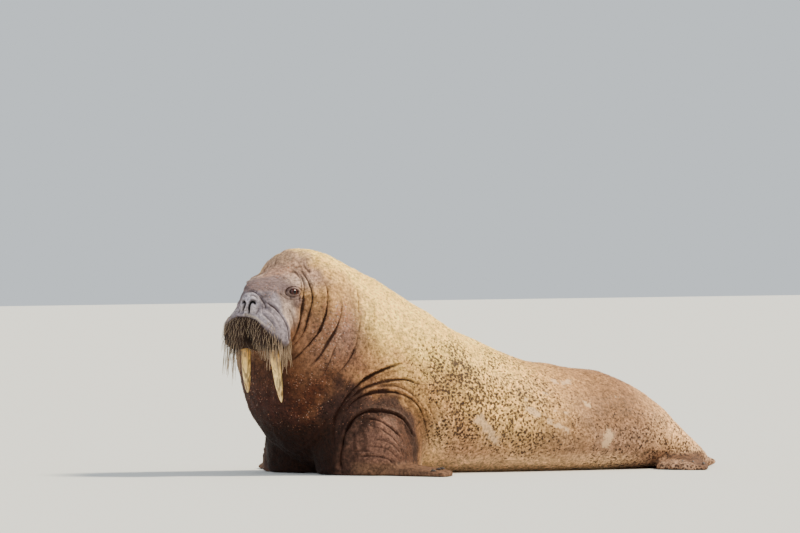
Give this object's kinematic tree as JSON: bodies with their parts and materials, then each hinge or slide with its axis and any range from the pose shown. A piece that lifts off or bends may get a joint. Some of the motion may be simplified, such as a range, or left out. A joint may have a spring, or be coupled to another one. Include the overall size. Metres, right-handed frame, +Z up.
{
  "type": "walrus",
  "caption": "Life-size still model of a young adult walrus lying on its belly, chest propped on its foreflippers, head raised and turned to its left",
  "frame": {"origin": "centre of the object's box on the floor", "axes": "+Z up, the floor at Z = 0; +X runs along the body from head to tail; -Y is the animal's left side"},
  "size_m": [2.7681, 1.6396, 1.0492],
  "materials": {
    "hide": "wrinkled, short-haired golden brown hide, darker on the chest, pitted on the flanks",
    "face_skin": "grey-brown skin, nearly bare, finely wrinkled",
    "flipper_skin": "dark bare skin, creased over the joints",
    "ivory": "satin ivory, stained brown towards the tips",
    "eye": "wet, dark red-brown"
  },
  "bodies": {
    "root": {"head": "face_skin", "nose": "face_skin", "lower_jaw": "face_skin", "whisker_pad_left": "face_skin", "whisker_pad_right": "face_skin", "tusk_left": "ivory", "tusk_right": "ivory", "eye_left": "eye", "eye_right": "eye", "neck": "hide", "torso": "hide", "hindquarters": "hide", "tail": "hide", "arm_left": "hide", "arm_right": "hide", "foreflipper_left": "flipper_skin", "foreflipper_right": "flipper_skin", "hind_flipper_left": "flipper_skin", "hind_flipper_right": "flipper_skin"}
  },
  "joints": []
}
